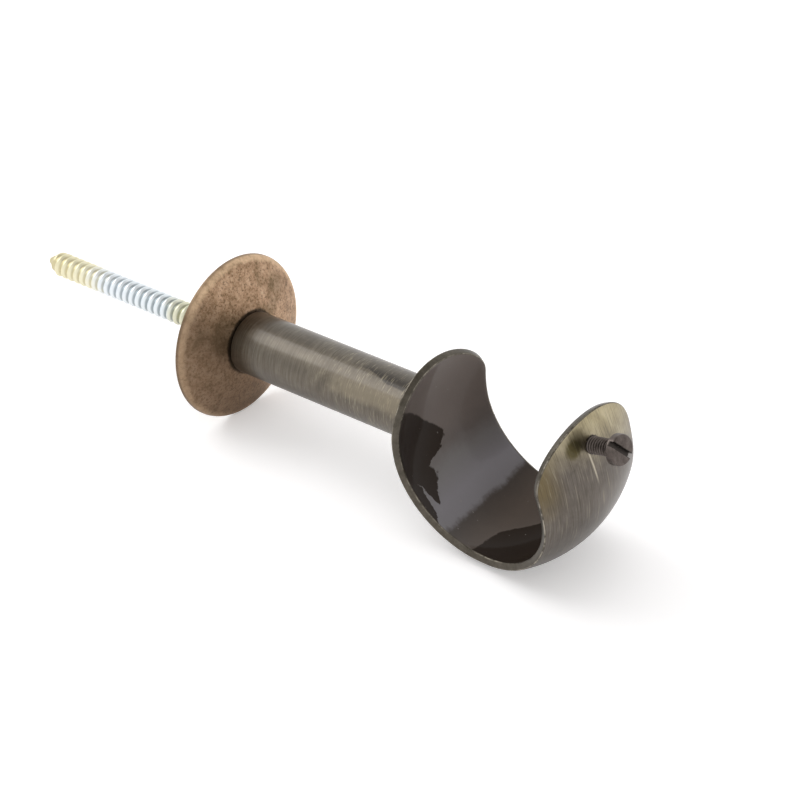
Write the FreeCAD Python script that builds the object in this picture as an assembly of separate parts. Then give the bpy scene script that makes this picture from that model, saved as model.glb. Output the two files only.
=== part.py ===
import FreeCAD, Part
import math
import os

# Curtain pole bracket: a hanger bolt, a domed rose, a round stem and an open cup with a clamping screw.
# Millimetres. The origin is the centre of the rose's wall face. +X runs out from the wall along the stem,
# +Y along the pole and +Z up, out of the cup's mouth.
V = FreeCAD.Vector
X = V(1, 0, 0)
Y = V(0, 1, 0)
Z = V(0, 0, 1)

# Driving dimensions
STEM_D = 15.0
STEM_CHAMFER = 0.5

ROSE_D = 40.0
ROSE_SHEET = 1.0
ROSE_RIM = 0.7
ROSE_LIP_D = 38.0
ROSE_LIP_UP = 1.9
ROSE_CROWN_D = 27.2
ROSE_CROWN_UP = 4.05
ROSE_SEAT_D = 13.6
ROSE_HEIGHT = 5.2
ROSE_HOLE_D = 6.6

BOLT_D = 6.0
BOLT_LENGTH = 90.0
BOLT_OUT = 63.0
BOLT_POINT = 5.0
BOLT_TIP_D = 1.4
BOLT_CHAMFER = 0.8
BOLT_NECK_D = 5.4
BOLT_NECK_FROM = 1.0
BOLT_NECK_TO = 3.0

TAPPED_DEPTH = 24.0
DRILL_POINT = 1.7

POLE_REACH = 84.0
POLE_DROP = 0.9
CUP_R = 25.0
CUP_SHEET = 1.8
CUP_DISH_R = 35.0
ARM_LEAN = 12.0
STEM_ARM_HEIGHT = 17.0
OUTER_ARM_HEIGHT = 18.2
CUP_WIDTH = 31.2
EAR_HEIGHT = 10.0

SCREW_D = 4.0
SCREW_GAP = 0.05
SCREW_LENGTH = 10.0
SCREW_OUT = 6.6
SCREW_UP_ARM = 6.2
SCREW_HEAD_D = 7.0
SCREW_HEAD_H = 2.6
SCREW_HEAD_BREAK = 0.3
SCREW_POINT = 0.5
SLOT_WIDTH = 1.2
SLOT_DEPTH = 1.2
SLOT_TURN = 35.0

# Worked out from the driving dimensions
STEM_R = STEM_D / 2
CUP_AXIS = V(POLE_REACH, 0, -POLE_DROP)
DISH_CENTRE = CUP_AXIS - Z * (CUP_R - CUP_DISH_R)
CUP_HALF_TURN = math.asin(CUP_WIDTH / 2 / CUP_DISH_R)

# How far a form that is only there to cut with reaches past what it cuts
SPARE = 1.0
SPARE_TURN = 0.05


def face_of(edges):
    """A flat face inside a closed run of edges."""
    return Part.Face(Part.Wire(edges))


def line(a, b):
    return Part.LineSegment(a, b).toShape()


def arc(a, b, c):
    return Part.Arc(a, b, c).toShape()


def turned(points):
    """A turned solid about the stem's axis from the (x, r) points of its section."""
    wire = Part.makePolygon([V(x, 0, r) for x, r in points + points[:1]])
    return Part.Face(wire).revolve(V(0, 0, 0), X, 360)


def make_bolt():
    """Hanger bolt: wood thread to the wall, a neck hidden in the rose, machine thread into the stem."""
    tip = -BOLT_OUT
    end = BOLT_LENGTH - BOLT_OUT
    r = BOLT_D / 2
    neck = BOLT_NECK_D / 2
    wood_thread = [(tip, 0), (tip, BOLT_TIP_D / 2), (tip + BOLT_POINT, r), (BOLT_NECK_FROM, r)]
    waist = [(BOLT_NECK_FROM, neck), (BOLT_NECK_TO, neck), (BOLT_NECK_TO, r)]
    machine_thread = [(end - BOLT_CHAMFER, r), (end, r - BOLT_CHAMFER), (end, 0)]
    return turned(wood_thread + waist + machine_thread)


def make_rose():
    """Wall rose: a shallow dome of sheet with a flat seat for the stem, a broken lip and a bolt hole."""
    dome = [
        (ROSE_LIP_UP, ROSE_LIP_D / 2),
        (ROSE_CROWN_UP, ROSE_CROWN_D / 2),
        (ROSE_HEIGHT, ROSE_SEAT_D / 2),
        (ROSE_HEIGHT, ROSE_HOLE_D / 2),
    ]
    rim = [(0, ROSE_D / 2), (ROSE_RIM, ROSE_D / 2)]
    inside = [(x - ROSE_SHEET, r) for x, r in reversed(dome)]
    foot = [(0, ROSE_LIP_D / 2)]
    return turned(rim + dome + inside + foot)


def cup_section(half_turn):
    """Section of the sheet at the cup's lowest point: a strip dished over its width, with square edges."""
    outer_r = CUP_DISH_R
    inner_r = CUP_DISH_R - CUP_SHEET

    def on(radius, turn):
        return DISH_CENTRE + Y * (radius * math.sin(turn)) - Z * (radius * math.cos(turn))

    outer = arc(on(outer_r, -half_turn), on(outer_r, 0), on(outer_r, half_turn))
    inner = arc(on(inner_r, half_turn), on(inner_r, 0), on(inner_r, -half_turn))
    right = line(on(outer_r, half_turn), on(inner_r, half_turn))
    left = line(on(inner_r, -half_turn), on(outer_r, -half_turn))
    return face_of([outer, right, inner, left])


def ear_form(base, along):
    """The block an ear is cut to: half an ellipse, narrowing inwards so that the rim is square."""
    inner = (CUP_DISH_R - CUP_SHEET) * math.cos(CUP_HALF_TURN) - SPARE
    outlines = []
    for depth in (inner, CUP_DISH_R + SPARE):
        centre = V(base, 0, DISH_CENTRE.z - depth)
        side = Y * (depth * math.tan(CUP_HALF_TURN))
        ellipse = Part.Ellipse(centre + side, centre + along * EAR_HEIGHT, centre)
        curve = Part.ArcOfEllipse(ellipse, 0, math.pi).toShape()
        outlines.append(Part.Wire([curve, line(centre - side, centre + side)]))
    return Part.makeLoft(outlines, True, True)


def make_arm(way, height):
    """An arm and its ear, built flat from the bend's lowest point and turned up; way is -1 at the stem."""
    lean = math.radians(ARM_LEAN)
    run = (height - CUP_R * math.sin(lean)) / math.cos(lean)
    along = X * way
    shank = cup_section(CUP_HALF_TURN).extrude(along * (run - EAR_HEIGHT))
    ear = cup_section(CUP_HALF_TURN + SPARE_TURN).extrude(along * (EAR_HEIGHT + SPARE))
    ear.translate(along * (run - EAR_HEIGHT))
    ear = ear.common(ear_form(POLE_REACH + way * (run - EAR_HEIGHT), along))
    arm = shank.fuse(ear)
    arm.rotate(CUP_AXIS, Y, -way * (90 + ARM_LEAN))
    return arm


def cup_bend():
    """The dished strip bent round the pole until its arms lean in."""
    start = cup_section(CUP_HALF_TURN)
    start.rotate(CUP_AXIS, Y, 90 + ARM_LEAN)
    return start.revolve(CUP_AXIS, Y, -2 * (90 + ARM_LEAN))


def screw_place(shape):
    """Moves a shape built along +Z, with z = 0 at the arm's outer face, onto the clamping screw's axis."""
    lean = math.radians(ARM_LEAN)
    out = V(math.cos(lean), 0, math.sin(lean))
    up_arm = V(-math.sin(lean), 0, math.cos(lean))
    shape.rotate(V(0, 0, 0), Z, SLOT_TURN)
    shape.rotate(V(0, 0, 0), Y, 90 - ARM_LEAN)
    shape.translate(CUP_AXIS + out * CUP_R + up_arm * SCREW_UP_ARM)
    return shape


def make_cup():
    """The cup: one dished, bent and trimmed piece of sheet, holed for the clamping screw."""
    arms = [make_arm(1, OUTER_ARM_HEIGHT), make_arm(-1, STEM_ARM_HEIGHT)]
    length = CUP_SHEET + 2 * SPARE
    hole = Part.makeCylinder(SCREW_D / 2 + SCREW_GAP, length, -Z * (CUP_SHEET + SPARE), Z)
    return cup_bend().fuse(arms).removeSplitter().cut(screw_place(hole))


def make_stem(cup):
    """Stem: a turned bar, tapped for the bolt at the rose and coped at its other end to sit on the cup."""
    start = ROSE_HEIGHT
    end = POLE_REACH - CUP_R + STEM_R
    bore = BOLT_D / 2
    bottom = start + TAPPED_DEPTH
    break_start = [(start, bore), (start, STEM_R - STEM_CHAMFER), (start + STEM_CHAMFER, STEM_R)]
    hole = [(bottom + DRILL_POINT, 0), (bottom, bore)]
    bar = turned(break_start + [(end, STEM_R), (end, 0)] + hole)
    pieces = bar.cut(cup).Solids
    return min(pieces, key=lambda s: s.BoundBox.XMin)


def make_screw():
    """Slotted cheese-head clamping screw, backed out as far as the bracket is shown."""
    r = SCREW_D / 2
    tip = SCREW_OUT - SCREW_LENGTH
    shank = Part.makeCylinder(r, SCREW_LENGTH - SCREW_POINT, V(0, 0, tip + SCREW_POINT), Z)
    point = Part.makeCone(r - SCREW_POINT, r, SCREW_POINT, V(0, 0, tip), Z)
    head = Part.makeCylinder(SCREW_HEAD_D / 2, SCREW_HEAD_H, V(0, 0, SCREW_OUT), Z)
    top = [e for e in head.Edges if e.BoundBox.ZMin > SCREW_OUT + SCREW_HEAD_H / 2]
    head = head.makeChamfer(SCREW_HEAD_BREAK, top)
    slot = Part.makeBox(SCREW_HEAD_D + 2 * SPARE, SLOT_WIDTH, SLOT_DEPTH)
    floor = SCREW_OUT + SCREW_HEAD_H - SLOT_DEPTH
    slot.translate(V(-SCREW_HEAD_D / 2 - SPARE, -SLOT_WIDTH / 2, floor))
    return screw_place(head.cut(slot).fuse([shank, point]).removeSplitter())


cup = make_cup()
nodes = {
    "hanger_bolt": make_bolt(),
    "rose": make_rose(),
    "stem": make_stem(cup),
    "cup": cup,
    "clamp_screw": make_screw(),
}

os.makedirs("parts", exist_ok=True)
for name, shape in nodes.items():
    shape.exportStep("parts/" + name + ".step")
    print(name, "solids", len(shape.Solids), "valid", shape.isValid(), "mm3", round(shape.Volume, 1))
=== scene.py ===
import math

import bpy
import bmesh
import numpy as np
from mathutils import Matrix, Vector


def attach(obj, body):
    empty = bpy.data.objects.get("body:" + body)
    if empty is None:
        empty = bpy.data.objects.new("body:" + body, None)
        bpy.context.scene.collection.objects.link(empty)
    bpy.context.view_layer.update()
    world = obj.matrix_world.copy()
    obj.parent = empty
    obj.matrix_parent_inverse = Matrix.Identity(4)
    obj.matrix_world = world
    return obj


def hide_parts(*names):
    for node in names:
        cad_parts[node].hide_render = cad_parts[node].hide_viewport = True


# Curtain pole bracket lying on a white studio table. Metres, in the construction model's frame:
# the origin is the centre of the rose's wall face, +X runs along the stem, +Y along the pole and
# +Z up, out of the cup's mouth.
MM = 0.001
MM_PER_METRE = 1000.0

# Sizes of the construction model
ROSE_D = 40 * MM
ROSE_SHEET = 1.0 * MM
ROSE_HEIGHT = 5.2 * MM
ROSE_SEAT_D = 13.6 * MM
ROSE_HOLE_D = 6.6 * MM
BOLT_D = 6 * MM
BOLT_OUT = 63 * MM
BOLT_IN = 27 * MM
BOLT_NECK = (1 * MM, 3 * MM)
BOLT_NECK_D = 5.4 * MM
CUP_AXIS = Vector((84 * MM, 0, -0.9 * MM))
CUP_R = 25 * MM
CUP_SHEET = 1.8 * MM
CUP_DISH_R = 35 * MM
ARM_LEAN = math.radians(12)
SCREW_D = 4 * MM
SCREW_HOLE_D = 4.1 * MM
SCREW_LENGTH = 10 * MM
SCREW_OUT = 6.6 * MM
SCREW_UP_ARM = 6.2 * MM
SCREW_HEAD_D = 7 * MM
SCREW_HEAD_H = 2.6 * MM
SCREW_POINT = 0.5 * MM
SLOT_WIDTH = 1.2 * MM
SLOT_DEPTH = 1.2 * MM
SLOT_TURN = math.radians(35)

# Sizes that only the dressed pieces have
ROSE_DOME_R = 38 * MM
ROSE_LIP_ROUND = 1.5 * MM
ROSE_RIM = 0.3 * MM
ROSE_SEAT_STEP = 1.2 * MM
CUP_LENGTH_STEM = 56.47 * MM
CUP_LENGTH_OUT = 57.56 * MM
CUP_HALF_WIDTH = 14.82 * MM
CUP_WIDENING = 1.67 * MM
CUP_EDGE_ROUND = 0.4 * MM
EAR_LENGTH = 11.94 * MM
ARM_R_STEM = 41.1 * MM
ARM_R_OUT = 53 * MM
WOOD_POINT = 3.4 * MM
WOOD_TIP_D = 1.5 * MM
SCREW_CREST_GAP = 0.02 * MM
SCREW_POINT_SHARE = 0.72
SCREW_NECK = 0.2 * MM
SCREW_HEAD_LIFT = 0.45 * MM
SCREW_HEAD_INSET = 0.2 * MM
SCREW_HEAD_FOOT = 0.15 * MM
SCREW_HEAD_ROUND = 0.45 * MM

# Threads: pitch and root, then how much of a turn the crest and each flank take
WOOD_PITCH = 2.15 * MM
WOOD_ROOT_D = 5.0 * MM
WOOD_CREST, WOOD_FLANK = 0.16, 0.36
MACHINE_PITCH = 1.0 * MM
MACHINE_ROOT_D = 4.9 * MM
MACHINE_CREST, MACHINE_FLANK = 0.12, 0.44
SCREW_PITCH = 0.7 * MM
SCREW_ROOT_D = 3.2 * MM
SCREW_CREST, SCREW_FLANK = 0.12, 0.42
FLANK_EASE = 0.35

# Forms that are only there to cut with
HOLE_CUTTER_ENDS = (-6 * MM, 4 * MM)
SLOT_CUTTER_HEIGHT = 4 * MM
SLOT_CUTTER_LENGTH = SCREW_HEAD_D * 1.4

# Mesh counts, and how close points are to be welded
ROSE_AROUND = 160
ROSE_LIP_STEPS = 10
ROSE_DOME_STEPS = 24
BOLT_AROUND = 56
WOOD_STEPS = 18
NECK_STEPS = 3
MACHINE_STEPS = 8
SCREW_AROUND = 72
SCREW_STEPS = 14
SCREW_ROUND_STEPS = 6
HOLE_AROUND = 64
SIDE_STEPS = 110
EAR_STEPS = 36
FACE_STEPS = 22
CORNER_STEPS = 5
WELD = 1e-7
WELD_AFTER_CUT = 1e-6

# Worked out from the sizes
DISH_CENTRE = CUP_R - CUP_DISH_R
ARM_START = CUP_R * math.pi / 2

# What the attribute "inside" of the cup's mesh says, from its outer face to its inner one
OUTER_FACE, OUTER_CORNER, INNER_CORNER, INNER_FACE = 0.0, 0.25, 0.75, 1.0

# Colours. In a list each has the value of the noise or the share of the length that it stands at.
STEM_BRASS = [
    (0.32, (0.122, 0.103, 0.078)),
    (0.5, (0.155, 0.133, 0.104)),
    (0.68, (0.19, 0.166, 0.128)),
]
STEM_STREAK = (0.085, 0.072, 0.055)
STEM_GOLD = (0.30, 0.255, 0.18)
# Painted reflection of the cup's dark ear on the stem near the cup
STEM_CUP_REFLECTION = (0.045, 0.038, 0.032)
STEM_SCRATCH = (0.42, 0.37, 0.26)
# Painted reflection of the rose's dark face on the stem by the wall end
STEM_ROSE_REFLECTION = (0.045, 0.035, 0.022)
# Inside the cup: the lacquer's tone along the sheet, with painted reflections in it, a pale greyish
# band on the stem's arm and darker from just short of the lowest point on
CUP_LACQUER_AND_REFLECTIONS = [
    (0.0, (0.158, 0.128, 0.110)),
    (0.19, (0.162, 0.134, 0.120)),
    (0.23, (0.138, 0.118, 0.108)),
    (0.27, (0.182, 0.170, 0.166)),
    (0.33, (0.205, 0.193, 0.204)),
    (0.374, (0.185, 0.174, 0.182)),
    (0.388, (0.062, 0.050, 0.043)),
    (0.455, (0.100, 0.078, 0.064)),
]
# Colour of the painted dark reflections inside the cup
CUP_DARK_REFLECTION = (0.016, 0.008, 0.003)
CUP_SPECK = (0.24, 0.22, 0.20)
CUP_TAUPE = [
    (0.3, (0.115, 0.098, 0.082)),
    (0.5, (0.145, 0.126, 0.108)),
    (0.7, (0.175, 0.153, 0.132)),
]
# Worn brass, golden towards the arms' tips, brightened there as a painted highlight
CUP_GOLD_WEAR_AND_HIGHLIGHT = [
    (0.3, (0.37, 0.31, 0.18)),
    (0.5, (0.49, 0.42, 0.26)),
    (0.7, (0.58, 0.51, 0.34)),
]
CUP_OLIVE = (0.17, 0.125, 0.045)
# Painted reflection of the screw on the outer arm
CUP_SCREW_REFLECTION = (0.10, 0.080, 0.024)
CUP_LONG_SCRATCH = (0.62, 0.56, 0.44)
CUP_SCRATCH = (0.42, 0.37, 0.27)
CUP_STREAK = (0.07, 0.058, 0.042)
CUP_RIM = [(0.35, (0.075, 0.065, 0.050)), (0.65, (0.115, 0.101, 0.080))]
CUP_WORN = (0.52, 0.47, 0.38)
ROSE_BRONZE = [
    (0.32, (0.27, 0.165, 0.092)),
    (0.5, (0.47, 0.300, 0.185)),
    (0.66, (0.62, 0.425, 0.285)),
]
ROSE_DARK_SPECKLE = (0.11, 0.075, 0.038)
ROSE_PALE_SPECKLE = (0.62, 0.49, 0.34)
# Olive of the dark clouds, and of the painted shade by the stem and the painted dark reflection
# near the edge
ROSE_OLIVE_CLOUDS_AND_PAINTED_MARKS = (0.125, 0.088, 0.038)
# Painted shade on the low side of the rose's face
ROSE_LOW_SIDE_SHADE = (0.130, 0.086, 0.053)
# Painted highlight on the rolled lip
ROSE_LIP_HIGHLIGHT = (0.78, 0.57, 0.37)
ROSE_DARK_RIM = (0.10, 0.068, 0.042)
# Painted shade in a ring round the foot of the stem
ROSE_STEM_FOOT_SHADE = (0.022, 0.016, 0.009)
BOLT_ZINC = [
    (0.0, (0.82, 0.76, 0.50)),
    (0.22, (0.92, 0.88, 0.66)),
    (0.32, (0.88, 0.93, 0.97)),
    (0.66, (0.86, 0.92, 0.95)),
    (0.72, (0.78, 0.77, 0.60)),
    (1.0, (0.70, 0.69, 0.50)),
]
# Painted shade in the bolt's thread roots, by share of its length
BOLT_ROOT_SHADE = [
    (0.0, (0.60, 0.53, 0.30)),
    (0.25, (0.62, 0.57, 0.38)),
    (0.36, (0.34, 0.39, 0.43)),
    (0.68, (0.24, 0.29, 0.31)),
    (0.75, (0.27, 0.27, 0.16)),
    (1.0, (0.25, 0.25, 0.14)),
]
SCREW_BRONZE = [
    (0.3, (0.085, 0.070, 0.062)),
    (0.5, (0.115, 0.095, 0.085)),
    (0.72, (0.17, 0.145, 0.13)),
]
# Painted shade in the screw's thread roots
SCREW_ROOT_SHADE = (0.02, 0.016, 0.013)
TABLE_WHITE = (0.97, 0.962, 0.966)
WHITE = (1, 1, 1)
WORLD_WHITE = (1.0, 0.99, 0.985)
CEILING_WHITE = (1.0, 0.97, 0.95)

# Single marks. The painted dark reflection inside the stem's arm: how far across the sheet it
# reaches, from 0 at one edge to 1 at the other, by share of the sheet's length from that arm's tip.
ARM_REFLECTION_EDGE = [
    (0.02, 0.0),
    (0.09, 0.25),
    (0.15, 0.42),
    (0.20, 0.56),
    (0.218, 0.56),
    (0.233, 0.47),
    (0.246, 0.32),
    (0.264, 0.335),
    (0.283, 0.31),
    (0.302, 0.25),
    (0.326, 0.19),
    (0.330, 0.09),
    (0.342, 0.05),
    (0.36, 0.0),
]
# The tip of the painted pale reflection in it: share of the length, and across the sheet from -1 to
# 1
PALE_REFLECTION_TIP = (0.258, -0.78)
# Points in metres
# Centre of the painted reflection of the screw
SCREW_REFLECTION_PLACE = (0.10645, -0.0050, 0.0124)
# Centres of the rose's painted shade by the stem and its painted dark reflection near the edge
ROSE_SHADE_BY_STEM = (0.005, -0.007, 0.006)
ROSE_REFLECTION_BY_EDGE = (0.004, 0.0125, 0.0083)

# Relief of the finishes
BRUSHING = 0.0001
LACQUER_WAVES = 0.0003

# Camera
CAMERA_TARGET = Vector((51.3 * MM, 0.16 * MM, 0.42 * MM))
CAMERA_AZIMUTH = math.radians(46.7395)
CAMERA_ELEVATION = math.radians(36.9658)
CAMERA_ROLL = math.radians(-10.4174)
CAMERA_DISTANCE = 680.65 * MM
CAMERA_LENS = 135.92
CAMERA_SENSOR = 36
CAMERA_SEES_TO = 20

# Table and light
TABLE_ROLL = math.radians(8)
TABLE_SIZE = 6.0
TABLE_GLOW = 0.30
TABLE_GLOW_IN_METAL = 0.12
WORLD_LIGHT = 0.70
CEILING_LIGHT = 0.55
CEILING_FROM = 0.62
CEILING_TO = 0.97
LIT_POINT = (0.05, 0, 0)
SOFTBOX_PLACE = (-0.63, -0.17, 0.72)
SOFTBOX_SIZE = (0.60, 0.42)
SOFTBOX_POWER = 2.1
OVERHEAD_PLACE = (-0.15, 0.20, 1.0)
OVERHEAD_SIZE = (1.0, 1.0)
OVERHEAD_POWER = 2.2

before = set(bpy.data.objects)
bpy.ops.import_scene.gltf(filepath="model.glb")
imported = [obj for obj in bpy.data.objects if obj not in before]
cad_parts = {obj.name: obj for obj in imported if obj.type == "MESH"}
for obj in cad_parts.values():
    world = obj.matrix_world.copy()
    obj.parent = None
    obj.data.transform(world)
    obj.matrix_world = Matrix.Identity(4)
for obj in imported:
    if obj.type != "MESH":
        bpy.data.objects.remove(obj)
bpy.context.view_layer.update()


# Mesh helpers

def new_object(name, verts, faces):
    """A mesh object at the origin."""
    mesh = bpy.data.meshes.new(name)
    mesh.from_pydata([tuple(v) for v in verts], [], faces)
    mesh.validate()
    return add_object(name, mesh)


def add_object(name, data):
    """An object in the scene."""
    thing = bpy.data.objects.new(name, data)
    bpy.context.scene.collection.objects.link(thing)
    return thing


def tidy_mesh(piece, sharp_degrees, weld=WELD):
    """Welds doubles, turns faces outwards and shades smooth, but for edges over the angle."""
    bm = bmesh.new()
    bm.from_mesh(piece.data)
    bmesh.ops.remove_doubles(bm, verts=bm.verts, dist=weld)
    bmesh.ops.dissolve_degenerate(bm, edges=bm.edges, dist=weld)
    bmesh.ops.recalc_face_normals(bm, faces=bm.faces)
    bm.to_mesh(piece.data)
    bm.free()
    piece.data.polygons.foreach_set("use_smooth", [True] * len(piece.data.polygons))
    piece.data.set_sharp_from_angle(angle=math.radians(sharp_degrees))


def add_attribute(piece, name, values):
    """One number per vertex, for the piece's material."""
    layer = piece.data.attributes.new(name, "FLOAT", "POINT")
    layer.data.foreach_set("value", values)


def cut_with(piece, cutter):
    """Cuts one closed mesh out of another and deletes the cutter."""
    modifier = piece.modifiers.new("cut", "BOOLEAN")
    modifier.operation = "DIFFERENCE"
    modifier.solver = "EXACT"
    modifier.object = cutter
    bpy.context.view_layer.update()
    evaluated = piece.evaluated_get(bpy.context.evaluated_depsgraph_get())
    mesh = bpy.data.meshes.new_from_object(evaluated)
    old = piece.data
    piece.modifiers.clear()
    piece.data = mesh
    bpy.data.meshes.remove(old)
    bpy.data.objects.remove(cutter)


def plain(radius):
    """The radius function of a ring with no thread."""
    return lambda x, turn: radius


def turned_verts(stations, around):
    """Rings of points about the X axis from (x, radius function) stations."""
    verts = []
    for x, radius in stations:
        for a in np.linspace(0, 2 * math.pi, around, endpoint=False):
            r = radius(x, a / (2 * math.pi))
            verts.append((x, r * math.sin(a), r * math.cos(a)))
    return verts


def ring_faces(rings, around, closed=False):
    """Faces from each ring of points to the next, and from the last back to the first if closed."""
    faces = []
    for i in range(rings if closed else rings - 1):
        low = i * around
        high = (i + 1) % rings * around
        for j in range(around):
            k = (j + 1) % around
            faces.append((low + j, low + k, high + k, high + j))
    return faces


def threaded_rod(name, stations, around):
    """A rod along X, closed at both ends, that knows each point's radius in millimetres."""
    verts = turned_verts(stations, around)
    faces = ring_faces(len(stations), around)
    last = (len(stations) - 1) * around
    faces.append(tuple(range(around)))
    faces.append(tuple(last + j for j in reversed(range(around))))
    rod = new_object(name, verts, faces)
    add_attribute(rod, "radius", [math.hypot(y, z) / MM for x, y, z in verts])
    return rod


# Rose

def arc_points(centre, radius, start, end, count):
    """Points (x, r) on an arc in the turning plane; an angle of 0 points away from the axis."""
    return [
        (centre[0] + radius * math.sin(a), centre[1] + radius * math.cos(a))
        for a in np.linspace(start, end, count)
    ]


def dome_centre(seat, lip):
    """The centre (x, r) of the arc from the seat's edge that runs on into the lip's arc."""
    to_lip = lip - seat
    gap = np.linalg.norm(to_lip)
    near = (gap ** 2 + ROSE_DOME_R ** 2 - (ROSE_DOME_R - ROSE_LIP_ROUND) ** 2) / (2 * gap)
    side = math.sqrt(ROSE_DOME_R ** 2 - near ** 2)
    unit = to_lip / gap
    across = np.array([-unit[1], unit[0]])
    return min((seat + unit * near + across * s for s in (side, -side)), key=lambda c: c[0])


def rose_profile():
    """The rose's section: rim, rolled lip, dome, flat seat, bolt hole and the hollow back."""
    rim_r = ROSE_D / 2
    seat = np.array([ROSE_HEIGHT, ROSE_SEAT_D / 2])
    lip = np.array([ROSE_RIM, rim_r - ROSE_LIP_ROUND])
    centre = dome_centre(seat, lip)
    lip_turn = math.atan2(lip[0] - centre[0], lip[1] - centre[1])
    seat_turn = math.atan2(seat[0] - centre[0], seat[1] - centre[1])

    def sheet_face(inset):
        dome_r = ROSE_DOME_R - inset
        points = [(0, rim_r - inset)]
        points += arc_points(lip, ROSE_LIP_ROUND - inset, 0, lip_turn, ROSE_LIP_STEPS)
        points += arc_points(centre, dome_r, lip_turn, seat_turn, ROSE_DOME_STEPS)[1:]
        points.append((ROSE_HEIGHT - inset, ROSE_SEAT_D / 2 - ROSE_SEAT_STEP))
        points.append((ROSE_HEIGHT - inset, ROSE_HOLE_D / 2))
        return points

    return sheet_face(0) + list(reversed(sheet_face(ROSE_SHEET)))


def make_rose():
    stations = [(x, plain(r)) for x, r in rose_profile()]
    verts = turned_verts(stations, ROSE_AROUND)
    rose = new_object("rose_dome", verts, ring_faces(len(stations), ROSE_AROUND, closed=True))
    tidy_mesh(rose, 35)
    return rose


# Bolt

def thread_radius(phase, root, crest, crest_share, flank_share):
    """Radius over one turn of the thread: a narrow crest, two flanks and a root."""
    phase = abs((phase + 0.5) % 1.0 - 0.5)
    low = crest_share / 2 + flank_share
    t = np.clip((low - phase) / flank_share, 0, 1)
    t = t * t * (3 - 2 * t) * FLANK_EASE + t * (1 - FLANK_EASE)
    return root + (crest - root) * t


def make_bolt():
    """Hanger bolt: wood thread with a blunt point, neck in the rose, machine thread in the stem."""
    crest = BOLT_D / 2
    tip = WOOD_TIP_D / 2

    def wood(x, turn):
        point = np.clip((x + BOLT_OUT) / WOOD_POINT, 0, 1)
        phase = x / WOOD_PITCH - turn
        r = thread_radius(phase, WOOD_ROOT_D / 2, crest, WOOD_CREST, WOOD_FLANK)
        return tip + (r - tip) * point

    def machine(x, turn):
        run_out = min(1.0, (BOLT_IN - x) / MACHINE_PITCH)
        root = MACHINE_ROOT_D / 2
        phase = x / MACHINE_PITCH - turn
        r = thread_radius(phase, root, crest, MACHINE_CREST, MACHINE_FLANK)
        return root + (r - root) * run_out

    wood_xs = np.arange(-BOLT_OUT, BOLT_NECK[0], WOOD_PITCH / WOOD_STEPS)
    neck_xs = np.linspace(BOLT_NECK[0], BOLT_NECK[1], NECK_STEPS)
    machine_xs = np.arange(BOLT_NECK[1], BOLT_IN, MACHINE_PITCH / MACHINE_STEPS)
    stations = [(x, wood) for x in wood_xs]
    stations += [(x, plain(BOLT_NECK_D / 2)) for x in neck_xs]
    stations += [(x, machine) for x in machine_xs]
    bolt = threaded_rod("bolt_threads", stations, BOLT_AROUND)
    tidy_mesh(bolt, 50)
    return bolt


# Cup

def cup_point(s, y, inset):
    """The point of the sheet at s along it from the cup's lowest point, positive up the outer arm.

    y is across the outer face, and inset goes square into the sheet.
    """
    way = 1.0 if s >= 0 else -1.0
    arm_r = ARM_R_OUT if s >= 0 else ARM_R_STEM
    turn = min(abs(s), ARM_START) / CUP_R
    lean = max(abs(s) - ARM_START, 0.0) / arm_r
    dish = math.asin(y / CUP_DISH_R)
    rho = DISH_CENTRE + (CUP_DISH_R - inset) * math.cos(dish)
    if lean > 0:
        x = CUP_R - arm_r + (rho - CUP_R + arm_r) * math.cos(lean)
        z = (rho - CUP_R + arm_r) * math.sin(lean)
    else:
        x = rho * math.sin(turn)
        z = -rho * math.cos(turn)
    return np.array([CUP_AXIS.x + way * x, (CUP_DISH_R - inset) * math.sin(dish), CUP_AXIS.z + z])


def outline_loop():
    """The sheet's outline as a loop of (s, y): both sides widen upwards into half-ellipse ears."""
    loop = []
    for way, side in ((1, 1), (1, -1), (-1, -1), (-1, 1)):
        length = CUP_LENGTH_OUT if way > 0 else CUP_LENGTH_STEM
        straight = length - EAR_LENGTH
        quarter = [(s, 0.0) for s in np.linspace(0, straight, SIDE_STEPS, endpoint=False)]
        quarter += [
            (straight + EAR_LENGTH * math.sin(beta), beta)
            for beta in np.linspace(0, math.pi / 2, EAR_STEPS)
        ]
        points = []
        for s, beta in quarter:
            wide = CUP_HALF_WIDTH + CUP_WIDENING * s / length
            points.append((way * s, side * wide * math.cos(beta)))
        if way * side < 0:
            points.reverse()
        loop += points[:-1]
    return loop


def middle_of(s):
    """Where the sheet's middle line is nearest: it ends where the ears begin."""
    return max(EAR_LENGTH - CUP_LENGTH_STEM, min(CUP_LENGTH_OUT - EAR_LENGTH, s))


def from_middle(s, share):
    return middle_of(s) + (s - middle_of(s)) * share


def edge_share(s, y):
    """How far out from the middle line the rounded corner of the rim begins."""
    return 1 - CUP_EDGE_ROUND / math.hypot(s - middle_of(s), y)


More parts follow.
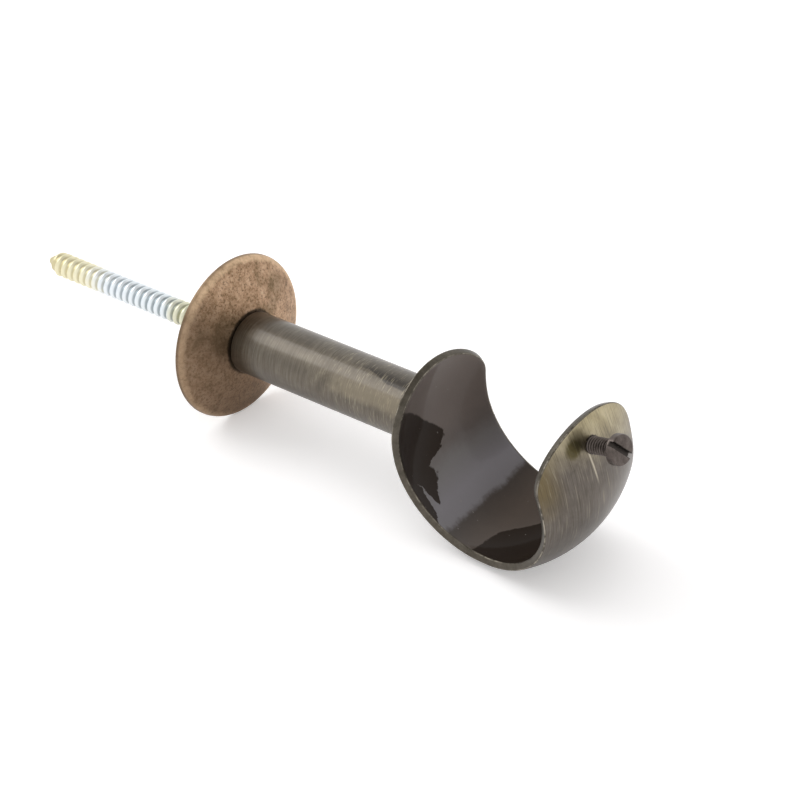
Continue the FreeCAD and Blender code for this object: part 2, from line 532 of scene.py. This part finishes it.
class CupSheet:
    """Rings of points over the sheet: from its middle line over one face, the rim and the other."""

    def __init__(self):
        self.loop = outline_loop()
        self.verts = []
        self.inside = []
        self.wear = []
        self.along = []

    def add_ring(self, points, inside, wear, share=1.0):
        self.verts += points
        self.inside += [inside] * len(points)
        self.wear += [wear] * len(points)
        self.along += [from_middle(s, share) / CUP_LENGTH_OUT for s, y in self.loop]

    def add_face(self, inset, inside, steps):
        for i in steps:
            points = []
            for s, y in self.loop:
                share = edge_share(s, y) * i / FACE_STEPS
                points.append(cup_point(from_middle(s, share), y * share, inset))
            self.add_ring(points, inside, 0.0, i / FACE_STEPS)

    def add_corner(self, inset, other_inset, inside, steps):
        for i in steps:
            a = math.pi / 2 * i / CORNER_STEPS
            back = CUP_EDGE_ROUND * (1 - math.sin(a))
            down = CUP_EDGE_ROUND * (1 - math.cos(a))
            points = []
            for s, y in self.loop:
                share = edge_share(s, y)
                tip = cup_point(s, y, inset)
                outward = tip - cup_point(from_middle(s, share), y * share, inset)
                through = cup_point(s, y, other_inset) - tip
                outward /= np.linalg.norm(outward)
                through /= np.linalg.norm(through)
                points.append(tip - outward * back + through * down)
            self.add_ring(points, inside, math.sin(2 * a))


def make_cup():
    """The cup's sheet: both faces gridded outwards from the middle line, with rounded rims."""
    sheet = CupSheet()
    sheet.add_face(0.0, OUTER_FACE, range(FACE_STEPS + 1))
    sheet.add_corner(0.0, CUP_SHEET, OUTER_CORNER, range(1, CORNER_STEPS + 1))
    sheet.add_corner(CUP_SHEET, 0.0, INNER_CORNER, range(CORNER_STEPS, 0, -1))
    sheet.add_face(CUP_SHEET, INNER_FACE, range(FACE_STEPS, -1, -1))
    around = len(sheet.loop)
    cup = new_object("cup_shell", sheet.verts, ring_faces(len(sheet.verts) // around, around))
    add_attribute(cup, "inside", sheet.inside)
    add_attribute(cup, "wear", sheet.wear)
    add_attribute(cup, "along", sheet.along)
    tidy_mesh(cup, 60)
    cut_with(cup, make_hole_cutter())
    tidy_mesh(cup, 45, WELD_AFTER_CUT)
    return cup


def make_hole_cutter():
    """The screw's hole, turned by half a step so that its edges miss the sheet's."""
    stations = [(x, plain(SCREW_HOLE_D / 2)) for x in HOLE_CUTTER_ENDS]
    cutter = threaded_rod("hole_cutter", stations, HOLE_AROUND)
    cutter.data.transform(screw_place() @ Matrix.Rotation(math.pi / HOLE_AROUND, 4, "X"))
    tidy_mesh(cutter, 60)
    return cutter


# Clamping screw

def screw_place():
    """Takes +X, with x = 0 at the arm's outer face, onto the screw's axis, out of the cup."""
    out = Vector((math.cos(ARM_LEAN), 0, math.sin(ARM_LEAN)))
    up_arm = Vector((-math.sin(ARM_LEAN), 0, math.cos(ARM_LEAN)))
    foot = CUP_AXIS + out * CUP_R + up_arm * SCREW_UP_ARM
    turn = Matrix((out, Vector((0, 1, 0)), up_arm)).transposed().to_4x4()
    return Matrix.Translation(foot) @ turn


def screw_stations():
    """The screw's thread from its tip to under the head, then the head with its rounded edge."""
    crest = SCREW_D / 2 - SCREW_CREST_GAP
    root = SCREW_ROOT_D / 2
    tip = SCREW_OUT - SCREW_LENGTH
    under = SCREW_OUT + SCREW_HEAD_LIFT
    head_r = SCREW_HEAD_D / 2
    flat_r = head_r - SCREW_HEAD_ROUND
    flat_x = SCREW_OUT + SCREW_HEAD_H - SCREW_HEAD_INSET - SCREW_HEAD_ROUND

    def thread(x, turn):
        point = np.clip((x - tip) / SCREW_POINT, 0, 1)
        neck = np.clip((under - SCREW_NECK - x) / SCREW_PITCH, 0, 1)
        r = thread_radius(x / SCREW_PITCH - turn, root, crest, SCREW_CREST, SCREW_FLANK)
        return (root + (r - root) * neck) * (SCREW_POINT_SHARE + (1 - SCREW_POINT_SHARE) * point)

    stations = [(x, thread) for x in np.arange(tip, under, SCREW_PITCH / SCREW_STEPS)]
    stations.append((under, plain(root)))
    stations.append((under, plain(head_r - SCREW_HEAD_FOOT)))
    stations.append((under + SCREW_HEAD_FOOT, plain(head_r)))
    for a in np.linspace(0, math.pi / 2, SCREW_ROUND_STEPS):
        x = flat_x + SCREW_HEAD_ROUND * math.sin(a)
        stations.append((x, plain(flat_r + SCREW_HEAD_ROUND * math.cos(a))))
    return stations


def make_slot_cutter():
    slot = bpy.data.meshes.new("slot_cutter")
    bm = bmesh.new()
    bmesh.ops.create_cube(bm, size=1.0)
    bm.to_mesh(slot)
    bm.free()
    floor = SCREW_OUT + SCREW_HEAD_H - SCREW_HEAD_INSET - SLOT_DEPTH
    slot.transform(
        Matrix.Rotation(SLOT_TURN, 4, "X")
        @ Matrix.Translation((floor + SLOT_CUTTER_HEIGHT / 2, 0, 0))
        @ Matrix.Diagonal((SLOT_CUTTER_HEIGHT, SLOT_WIDTH, SLOT_CUTTER_LENGTH, 1))
    )
    return add_object("slot_cutter", slot)


def make_screw():
    """Slotted cheese-head screw with its thread, built along X and moved to its place."""
    screw = threaded_rod("screw_body", screw_stations(), SCREW_AROUND)
    tidy_mesh(screw, 40)
    cut_with(screw, make_slot_cutter())
    screw.data.transform(screw_place())
    tidy_mesh(screw, 40, WELD_AFTER_CUT)
    return screw


# Materials. Positions on the stem and the rose and radii on the threads are in millimetres. Those
# on the cup are shares: -1 to 1 from the tip of the stem's arm to the tip of the outer one, and
# -1 to 1 across the sheet. Limits on a noise lie round its middle, 0.5.

class Nodes:
    """Short calls for building one procedural material in object space."""

    def __init__(self, name):
        self.material = bpy.data.materials.new(name)
        self.material.use_nodes = True
        self.tree = self.material.node_tree
        self.tree.nodes.clear()
        self.shader = self.new("BsdfPrincipled")
        self.link(self.shader.outputs[0], self.new("OutputMaterial").inputs[0])
        self.place = self.new("TexCoord").outputs["Object"]

    def new(self, kind):
        return self.tree.nodes.new("ShaderNode" + kind)

    def link(self, source, target):
        self.tree.links.new(source, target)

    def feed(self, target, value):
        if isinstance(value, bpy.types.NodeSocket):
            self.link(value, target)
        else:
            target.default_value = value

    def noise(self, scale, detail=4.0, rough=0.5, distortion=0.0, turn=0.0):
        """About 0.5. The scale is one number or one for each axis, and the turn is about Z."""
        space = self.new("Mapping")
        self.link(self.place, space.inputs["Vector"])
        space.inputs["Scale"].default_value = scale if isinstance(scale, tuple) else (scale,) * 3
        space.inputs["Rotation"].default_value = (0, 0, turn)
        node = self.new("TexNoise")
        self.link(space.outputs[0], node.inputs["Vector"])
        node.inputs["Scale"].default_value = 1.0
        node.inputs["Detail"].default_value = detail
        node.inputs["Roughness"].default_value = rough
        node.inputs["Distortion"].default_value = distortion
        return node.outputs["Fac"]

    def ramp(self, value, stops):
        """A run of colours or greys by position."""
        node = self.new("ValToRGB")
        self.link(value, node.inputs[0])
        while len(node.color_ramp.elements) < len(stops):
            node.color_ramp.elements.new(0.5)
        for element, (position, colour) in zip(node.color_ramp.elements, stops):
            element.position = position
            element.color = (*(colour if isinstance(colour, tuple) else (colour,) * 3), 1)
        return node.outputs[0]

    def math(self, operation, a, b=0.0, c=0.0):
        node = self.new("Math")
        node.operation = operation
        for target, value in zip(node.inputs, (a, b, c)):
            self.feed(target, value)
        return node.outputs[0]

    def minus(self, a, b):
        return self.math("SUBTRACT", a, b)

    def times(self, first, *others):
        for other in others:
            first = self.math("MULTIPLY", first, other)
        return first

    def mix(self, share, a, b):
        node = self.new("Mix")
        node.data_type = "RGBA"
        self.feed(node.inputs["Factor"], share)
        colours = [s for s in node.inputs if s.type == "RGBA"]
        for target, value in zip(colours, (a, b)):
            self.feed(target, (*value, 1) if isinstance(value, tuple) else value)
        return next(s for s in node.outputs if s.type == "RGBA")

    def attribute(self, name):
        node = self.new("Attribute")
        node.attribute_name = name
        return node.outputs["Fac"]

    def axis(self, which):
        """Metres along one axis: 0 is X, 1 is Y and 2 is Z."""
        node = self.new("SeparateXYZ")
        self.link(self.place, node.inputs[0])
        return node.outputs[which]

    def axis_mm(self, which):
        return self.times(self.axis(which), MM_PER_METRE)

    def across_cup(self):
        """-1 at one long edge of the cup's sheet and 1 at the other."""
        return self.times(self.axis(1), 1 / CUP_HALF_WIDTH)

    def radius_mm(self):
        """Millimetres from the stem's axis."""
        y, z = self.axis(1), self.axis(2)
        square = self.math("MULTIPLY_ADD", y, y, self.times(z, z))
        return self.times(self.math("SQRT", square), MM_PER_METRE)

    def distance_mm(self, point):
        """Millimetres from a point given in metres."""
        node = self.new("VectorMath")
        node.operation = "DISTANCE"
        self.link(self.place, node.inputs[0])
        node.inputs[1].default_value = point
        return self.times(node.outputs["Value"], MM_PER_METRE)

    def spread(self, value, zero_at, one_at):
        """A smooth step from 0 at one limit and past it to 1 at the other; either may be higher."""
        node = self.new("MapRange")
        node.interpolation_type = "SMOOTHSTEP"
        self.link(value, node.inputs["Value"])
        node.inputs["From Min"].default_value = zero_at
        node.inputs["From Max"].default_value = one_at
        return node.outputs["Result"]

    def over(self, value, noise, amount):
        """A value moved up and down by a noise that is about 0.5."""
        return self.math("MULTIPLY_ADD", self.minus(noise, 0.5), amount, value)

    def bump(self, height, strength, distance, normal=None):
        node = self.new("Bump")
        node.inputs["Strength"].default_value = strength
        node.inputs["Distance"].default_value = distance
        self.link(height, node.inputs["Height"])
        if normal is not None:
            self.link(normal, node.inputs["Normal"])
        return node.outputs[0]

    def finish(self, **inputs):
        for name, value in inputs.items():
            self.feed(self.shader.inputs[name.replace("_", " ")], value)
        return self.material


def stem_finish():
    """Brushed antique brass under dark lacquer: fine broken streaks run round the stem. Painted
    reflections darken it near the cup and by the rose.
    """
    n = Nodes("stem_lacquered_brass")
    streaks = n.noise((2400, 170, 170), 3.0, 0.6)
    scratches = n.noise((3000, 330, 330), 3.0, 0.6, turn=0.06)
    patches = n.noise((110, 130, 130), 5.0, 0.65, 0.4)
    x, y, z = (n.axis_mm(i) for i in range(3))
    outward = n.over(x, patches, 30.0)
    height = n.over(z, patches, 3.0)
    golden = n.times(
        n.spread(height, 1.8, 3.6),
        n.spread(height, 6.4, 4.8),
        n.spread(y, 0.0, -3.0),
        n.spread(outward, 30.0, 42.0),
        0.55,
    )
    # Painted reflection: the cup's dark ear mirrored on the top of the stem near the cup, a dark
    # patch with a slanted ragged edge
    corner = n.math("MULTIPLY_ADD", n.spread(x, 44.0, 52.0), 1.9, n.math("ADD", y, 1.2))
    cup_reflection = n.times(
        n.spread(n.over(corner, patches, 1.2), -0.15, 0.25),
        n.spread(x, 40.0, 46.0),
        n.ramp(n.spread(y, 1.8, -1.6), [(0.0, 0.0), (0.4, 0.30), (1.0, 0.92)]),
    )
    worn = n.times(n.spread(scratches, 0.54, 0.68), n.spread(outward, 20.0, 40.0), 0.38)
    # Painted reflection: the rose's face mirrored on the stem as a dark ring by the wall end, with
    # a ragged edge
    rose_reflection_edge = n.spread(n.over(x, n.noise(300), 1.2), 8.4, 9.6)
    colour = n.ramp(patches, STEM_BRASS)
    colour = n.mix(n.ramp(streaks, [(0.38, 0.65), (0.62, 0.0)]), colour, STEM_STREAK)
    colour = n.mix(golden, colour, STEM_GOLD)
    colour = n.mix(cup_reflection, colour, STEM_CUP_REFLECTION)
    colour = n.mix(worn, colour, STEM_SCRATCH)
    colour = n.mix(n.ramp(rose_reflection_edge, [(0.0, 0.35), (1.0, 0.0)]), colour, STEM_ROSE_REFLECTION)
    return n.finish(
        Base_Color=colour,
        Metallic=1.0,
        Roughness=n.ramp(streaks, [(0.2, 0.36), (0.8, 0.50)]),
        Normal=n.bump(streaks, 0.12, BRUSHING),
        Coat_Weight=0.5,
        Coat_Roughness=0.15,
    )


def reflection_by_arm(n, share, across):
    """Painted dark reflection on the stem's side of the cup: two lobes, with a painted pale
    reflection in the lower.
    """
    edge = n.math("MULTIPLY_ADD", n.ramp(share, ARM_REFLECTION_EDGE), 2.0, -1.0)
    dark_reflection = n.spread(n.minus(edge, across), -0.02, 0.02)
    tip_share, tip_across = PALE_REFLECTION_TIP
    past_tip = n.minus(share, tip_share)
    middle = n.math("MULTIPLY_ADD", past_tip, 0.6, tip_across)
    off_middle = n.math("ABSOLUTE", n.minus(across, middle))
    pale_reflection = n.spread(n.minus(n.times(past_tip, 1.3), off_middle), -0.01, 0.01)
    return n.times(dark_reflection, n.minus(1.0, pale_reflection))


def reflection_by_bend(n, along, across):
    """Painted dark reflection in the bend of the cup, from its lowest point up towards the outer
    arm.
    """
    level = n.minus(along, n.times(n.spread(across, -0.3, 0.4), 0.12))
    return n.times(
        n.spread(level, -0.085, -0.075),
        n.spread(level, 0.36, 0.30),
        n.spread(across, 0.62, 0.55),
    )


def cup_inside(n, grain):
    """The cup's glossy dark lacquer with painted reflections in it: the colour and the mask of its
    two painted dark reflections.
    """
    ragged = n.noise(700, 3.0, 0.6)
    along = n.over(n.over(n.attribute("along"), grain, 0.06), ragged, 0.03)
    across = n.over(n.over(n.across_cup(), grain, 0.35), ragged, 0.08)
    share = n.math("MULTIPLY_ADD", along, 0.5, 0.5)
    arm_reflection = reflection_by_arm(n, share, across)
    patches = n.math("MAXIMUM", arm_reflection, reflection_by_bend(n, along, across))
    specks = n.spread(n.noise(900, 1.0), 0.76, 0.80)
    # The painted dark reflections go over the lacquer's tone, and a few pale specks over both
    colour = n.mix(n.times(patches, 0.95), n.ramp(share, CUP_LACQUER_AND_REFLECTIONS), CUP_DARK_REFLECTION)
    return n.mix(n.times(specks, 0.5), colour, CUP_SPECK), patches


def cup_outside(n, streaks, grain):
    """Brushed brass, taupe low down and golden towards the tips of the arms, the gold partly a
    painted highlight; a painted reflection of the screw next to it.
    """
    along = n.attribute("along")
    across = n.across_cup()
    height = n.over(n.math("ABSOLUTE", along), grain, 0.16)
    tipward = n.math("MULTIPLY_ADD", across, 0.10, height)
    olive = n.times(n.spread(height, 0.64, 0.82), n.spread(across, -0.58, -0.98), 0.65)
    # Painted reflection of the screw next to its hole
    screw_reflection = n.spread(n.over(n.distance_mm(SCREW_REFLECTION_PLACE), grain, 2.0), 3.0, 1.6)
    line = n.math("ADD", across, n.math("MULTIPLY_ADD", along, 0.36, -0.19))
    scratch = n.times(
        n.spread(n.math("ABSOLUTE", line), 0.022, 0.006),
        n.spread(along, 0.70, 0.78),
        n.spread(along, 0.90, 0.86),
        0.7,
    )
    # Golden worn brass towards the arms' tips, made lighter as a painted highlight
    colour = n.mix(n.spread(tipward, 0.76, 1.04), n.ramp(grain, CUP_TAUPE), n.ramp(grain, CUP_GOLD_WEAR_AND_HIGHLIGHT))
    colour = n.mix(olive, colour, CUP_OLIVE)
    colour = n.mix(n.times(screw_reflection, 0.85), colour, CUP_SCREW_REFLECTION)
    colour = n.mix(scratch, colour, CUP_LONG_SCRATCH)
    colour = n.mix(n.ramp(streaks, [(0.58, 0.0), (0.72, 0.40)]), colour, CUP_SCRATCH)
    return n.mix(n.ramp(streaks, [(0.36, 0.40), (0.48, 0.0)]), colour, CUP_STREAK)


def cup_finish():
    """The stem's brass: glossy dark lacquer inside with painted reflections, brushed along the
    sheet outside, worn rim.
    """
    n = Nodes("cup_lacquered_brass")
    inside = n.spread(n.attribute("inside"), 0.78, 0.92)
    outside = n.spread(n.attribute("inside"), 0.22, 0.08)
    streaks = n.noise((150, 2900, 150), 2.0, 0.6)
    grain = n.noise(150, 5.0, 0.6, 0.4)
    fine = n.noise(520, 4.0, 0.7)
    worn = n.times(
        n.spread(n.attribute("wear"), 0.60, 0.95),
        n.spread(fine, 0.36, 0.60),
        n.ramp(grain, [(0.40, 0.15), (0.60, 0.75)]),
    )
    rim = n.mix(worn, n.ramp(fine, CUP_RIM), CUP_WORN)
    # patches is the mask of the painted dark reflections inside the cup
    lacquer, patches = cup_inside(n, grain)
    colour = n.mix(outside, n.mix(inside, rim, lacquer), cup_outside(n, streaks, grain))
    brushed = n.ramp(streaks, [(0.2, 0.30), (0.8, 0.45)])
    waves = n.noise(110, 3.0)
    return n.finish(
        Base_Color=colour,
        Metallic=n.ramp(inside, [(0.0, 1.0), (1.0, 0.35)]),
        Roughness=n.mix(inside, brushed, (0.36, 0.36, 0.36)),
        Normal=n.bump(waves, 0.15, LACQUER_WAVES, n.bump(streaks, 0.08, BRUSHING)),
        Specular_IOR_Level=0.05,
        # The coat is thinner over the painted dark reflections
        Coat_Weight=n.ramp(n.times(patches, inside), [(0.0, 0.28), (1.0, 0.15)]),
        Coat_IOR=1.4,
        Coat_Roughness=0.05,
    )


def rose_finish():
    """Antique bronze: fine speckle, olive dark clouds, and painted light: a highlight on the lip,
    shade on the low side and round the stem, a dark reflection near the edge.
    """
    n = Nodes("rose_antique_bronze")
    speckle = n.noise(1500, 4.0, 0.75, 0.2)
    mottle = n.noise(330, 5.0, 0.65, 0.4)
    clouds = n.noise(110, 4.0, 0.6, 0.6)
    # Painted shade by the stem and a painted dark reflection near the edge, added to the olive
    # clouds
    shade_by_stem = n.spread(n.distance_mm(ROSE_SHADE_BY_STEM), 7.0, 1.5)
    reflection_by_edge = n.spread(n.distance_mm(ROSE_REFLECTION_BY_EDGE), 4.6, 1.2)
    painted_marks = n.math("MAXIMUM", shade_by_stem, reflection_by_edge)
    clouds_and_painted_marks = n.math("MAXIMUM", painted_marks, n.spread(clouds, 0.54, 0.72))
    # Painted shade: the face darkens towards -Y and downwards
    sideways = n.math("MULTIPLY_ADD", n.axis(2), 0.42 / MM, n.times(n.axis(1), 0.9 / MM))
    low = n.spread(n.over(sideways, clouds, 9.0), 2.5, -7.0)
    r = n.over(n.radius_mm(), mottle, 0.8)
    # Painted highlight on the rolled lip, weaker on the low side
    lip = n.times(
        n.spread(r, 18.3, 19.3),
        n.ramp(low, [(0.0, 0.75), (1.0, 0.25)]),
        n.ramp(mottle, [(0.35, 0.5), (0.6, 1.0)]),
    )
    rim = n.times(n.spread(n.axis_mm(0), 1.1, 0.4), n.spread(r, 19.3, 19.8), 0.6)
    colour = n.ramp(mottle, ROSE_BRONZE)
    colour = n.mix(n.ramp(speckle, [(0.38, 0.7), (0.49, 0.0)]), colour, ROSE_DARK_SPECKLE)
    colour = n.mix(n.ramp(speckle, [(0.54, 0.0), (0.67, 0.6)]), colour, ROSE_PALE_SPECKLE)
    dark = n.times(clouds_and_painted_marks, n.ramp(mottle, [(0.30, 0.75), (0.70, 0.30)]))
    colour = n.mix(dark, colour, ROSE_OLIVE_CLOUDS_AND_PAINTED_MARKS)
    colour = n.mix(n.times(low, 0.64), colour, ROSE_LOW_SIDE_SHADE)
    colour = n.mix(lip, colour, ROSE_LIP_HIGHLIGHT)
    colour = n.mix(rim, colour, ROSE_DARK_RIM)
    # Painted shade round the foot of the stem
    colour = n.mix(n.times(n.spread(r, 8.3, 7.6), 0.85), colour, ROSE_STEM_FOOT_SHADE)
    return n.finish(
        Base_Color=colour,
        Metallic=0.85,
        Roughness=n.ramp(mottle, [(0.3, 0.40), (0.7, 0.56)]),
        Normal=n.bump(speckle, 0.2, BRUSHING),
        Specular_IOR_Level=0.3,
    )


def bolt_finish():
    """Zinc: yellow at the point, bluish white in the middle, olive by the rose, painted shade in
    the thread roots.
    """
    n = Nodes("bolt_passivated_zinc")
    drift = n.noise((120, 260, 260), 3.0)
    fine = n.noise(900, 4.0, 0.6)
    share = n.math("MULTIPLY_ADD", n.over(n.axis(0), drift, 8 * MM), 1 / BOLT_OUT, 1.0)
    up_thread = n.spread(n.over(n.attribute("radius"), fine, 0.12), 2.52, 2.80)
    # Painted shade in the thread roots
    root_shade = n.ramp(up_thread, [(0.0, 0.85), (1.0, 0.0)])
    return n.finish(
        Base_Color=n.mix(root_shade, n.ramp(share, BOLT_ZINC), n.ramp(share, BOLT_ROOT_SHADE)),
        Metallic=1.0,
        Roughness=n.ramp(fine, [(0.3, 0.28), (0.7, 0.42)]),
        Normal=n.bump(fine, 0.1, BRUSHING),
    )


def screw_finish():
    """Dark bronze-brown plating with a little wear and painted shade in the thread roots."""
    n = Nodes("screw_dark_bronze")
    fine = n.noise(800, 5.0, 0.6)
    up_thread = n.spread(n.attribute("radius"), 1.62, 1.92)
    # Painted shade in the thread roots
    root_shade = n.ramp(up_thread, [(0.0, 0.8), (1.0, 0.0)])
    return n.finish(
        Base_Color=n.mix(root_shade, n.ramp(fine, SCREW_BRONZE), SCREW_ROOT_SHADE),
        Metallic=0.9,
        Roughness=n.ramp(fine, [(0.3, 0.26), (0.7, 0.40)]),
        Normal=n.bump(fine, 0.08, BRUSHING),
    )


# Pieces

def dress(piece, node, body, material):
    """Stands a detailed piece in for its construction node."""
    piece.data.materials.clear()
    piece.data.materials.append(material)
    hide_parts(node)
    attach(piece, body)


dress(make_bolt(), "hanger_bolt", "bracket", bolt_finish())
dress(make_rose(), "rose", "bracket", rose_finish())
dress(make_cup(), "cup", "bracket", cup_finish())
dress(make_screw(), "clamp_screw", "screw", screw_finish())
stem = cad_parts["stem"]
stem_material = stem_finish()
for slot in stem.material_slots:
    slot.material = stem_material


# Table, light and camera

def table_up():
    """The table's normal: the bracket lies on the rim of its rose and the bottom of its cup.

    The roll is given, and the slope is closed in on until both rest on the table.
    """
    ny = math.sin(TABLE_ROLL)
    nx = 0.0
    for _ in range(20):
        nz = math.sqrt(1 - nx * nx - ny * ny)
        rim = -ROSE_D / 2 * math.hypot(ny, nz)
        slope = math.hypot(nx, nz)
        nx = (rim - CUP_AXIS.z * nz + DISH_CENTRE * slope + CUP_DISH_R) / CUP_AXIS.x
    return Vector((nx, ny, math.sqrt(1 - nx * nx - ny * ny)))


def make_table():
    up = table_up()
    lowest = -ROSE_D / 2 * math.hypot(up.y, up.z)
    turn = Vector((0, 0, 1)).rotation_difference(up)
    h = TABLE_SIZE / 2
    corners = [Vector((x, y, 0)) for x, y in ((-h, -h), (h, -h), (h, h), (-h, h))]
    table = new_object("table", [turn @ c + up * lowest for c in corners], [(0, 1, 2, 3)])
    table.data.materials.append(table_finish())


def table_finish():
    """White laminate that glows a little to the eye and in metal."""
    n = Nodes("table_white")
    path = n.new("LightPath")
    in_metal = n.times(path.outputs["Is Glossy Ray"], TABLE_GLOW_IN_METAL)
    glow = n.math("MULTIPLY_ADD", path.outputs["Is Camera Ray"], TABLE_GLOW, in_metal)
    return n.finish(
        Base_Color=(*TABLE_WHITE, 1),
        Roughness=0.6,
        Specular_IOR_Level=0.2,
        Emission_Color=(*WHITE, 1),
        Emission_Strength=glow,
    )


def area_light(name, place, size, power, reflected=True):
    data = bpy.data.lights.new(name, "AREA")
    data.shape = "RECTANGLE"
    data.size, data.size_y = size
    data.energy = power
    lamp = add_object(name, data)
    lamp.visible_glossy = reflected
    lamp.location = place
    lamp.rotation_euler = (Vector(LIT_POINT) - Vector(place)).to_track_quat("-Z", "Y").to_euler()


def make_world():
    """White to the eye, soft light on the part, and in metal a white studio with a dim ceiling."""
    world = bpy.data.worlds.new("studio")
    bpy.context.scene.world = world
    world.use_nodes = True
    tree = world.node_tree
    tree.nodes.clear()

    def node(kind, **values):
        made = tree.nodes.new("ShaderNode" + kind)
        for key, value in values.items():
            setattr(made, key, value)
        return made

    def background(colour, strength):
        made = node("Background")
        made.inputs["Color"].default_value = (*colour, 1)
        made.inputs["Strength"].default_value = strength
        return made

    def mixed(share, first, second):
        made = node("MixShader")
        tree.links.new(share, made.inputs[0])
        tree.links.new(first.outputs[0], made.inputs[1])
        tree.links.new(second.outputs[0], made.inputs[2])
        return made

    split = node("SeparateXYZ")
    tree.links.new(node("TexCoord").outputs["Generated"], split.inputs[0])
    ceiling = node("MapRange", interpolation_type="SMOOTHSTEP")
    ceiling.inputs["From Min"].default_value = CEILING_FROM
    ceiling.inputs["From Max"].default_value = CEILING_TO
    tree.links.new(split.outputs["Z"], ceiling.inputs["Value"])
    path = node("LightPath")
    seen = node("Math", operation="MAXIMUM")
    tree.links.new(path.outputs["Is Camera Ray"], seen.inputs[0])
    tree.links.new(path.outputs["Is Transmission Ray"], seen.inputs[1])
    white = background(WHITE, 1.0)
    lit = background(WORLD_WHITE, WORLD_LIGHT)
    in_metal = mixed(ceiling.outputs["Result"], white, background(CEILING_WHITE, CEILING_LIGHT))
    result = mixed(path.outputs["Is Glossy Ray"], lit, in_metal)
    result = mixed(seen.outputs[0], result, white)
    tree.links.new(result.outputs[0], node("OutputWorld").inputs["Surface"])


def make_camera():
    toward = Vector((
        math.cos(CAMERA_ELEVATION) * math.sin(CAMERA_AZIMUTH),
        -math.cos(CAMERA_ELEVATION) * math.cos(CAMERA_AZIMUTH),
        math.sin(CAMERA_ELEVATION),
    ))
    data = bpy.data.cameras.new("camera")
    data.lens = CAMERA_LENS
    data.sensor_width = CAMERA_SENSOR
    data.clip_end = CAMERA_SEES_TO
    camera = add_object("camera", data)
    place = Matrix.Translation(CAMERA_TARGET + toward * CAMERA_DISTANCE)
    look = (-toward).to_track_quat("-Z", "Y").to_matrix().to_4x4()
    camera.matrix_world = place @ look @ Matrix.Rotation(CAMERA_ROLL, 4, "Z")
    bpy.context.scene.camera = camera


make_table()
make_world()
area_light("softbox", SOFTBOX_PLACE, SOFTBOX_SIZE, SOFTBOX_POWER)
area_light("overhead", OVERHEAD_PLACE, OVERHEAD_SIZE, OVERHEAD_POWER, reflected=False)
make_camera()
bpy.context.scene.view_settings.view_transform = "Standard"
